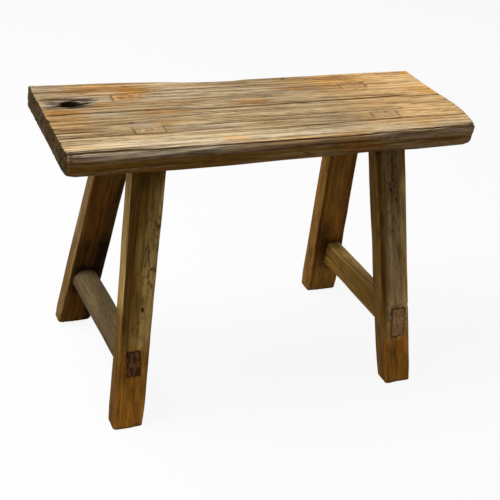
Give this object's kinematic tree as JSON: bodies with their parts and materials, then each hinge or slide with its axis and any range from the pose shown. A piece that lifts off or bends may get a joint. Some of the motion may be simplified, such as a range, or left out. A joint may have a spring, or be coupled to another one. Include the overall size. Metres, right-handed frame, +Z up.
{
  "type": "plank stool",
  "caption": "Rustic wooden plank stool with splayed legs wedged through the seat and a low stretcher between the legs at each end.",
  "frame": {"origin": "middle of the footprint, on the floor", "axes": "+X along the seat to the right, +Y to the back, +Z up"},
  "size_m": [0.6635, 0.3338, 0.452],
  "materials": {
    "seat_wood": "worn old hardwood, honey tan, waxed, with open grain",
    "leg_wood": "old hardwood, dark olive brown, hand planed, low sheen",
    "pole_wood": "peeled round pole, grey brown, low sheen",
    "bar_wood": "old hardwood, olive brown, low sheen",
    "wedge_wood": "end grain of small wedges, dark brown"
  },
  "bodies": {
    "root": {"seat_plank": "seat_wood", "stretcher_left": "pole_wood", "stretcher_right": "bar_wood", "leg_front_left": "leg_wood", "leg_wedge_front_left": "wedge_wood", "stretcher_wedge_front_left": "wedge_wood", "leg_front_right": "leg_wood", "leg_wedge_front_right": "wedge_wood", "stretcher_wedge_front_right": "wedge_wood", "leg_back_left": "leg_wood", "leg_wedge_back_left": "wedge_wood", "stretcher_wedge_back_left": "wedge_wood", "leg_back_right": "leg_wood", "leg_wedge_back_right": "wedge_wood", "stretcher_wedge_back_right": "wedge_wood"}
  },
  "joints": []
}
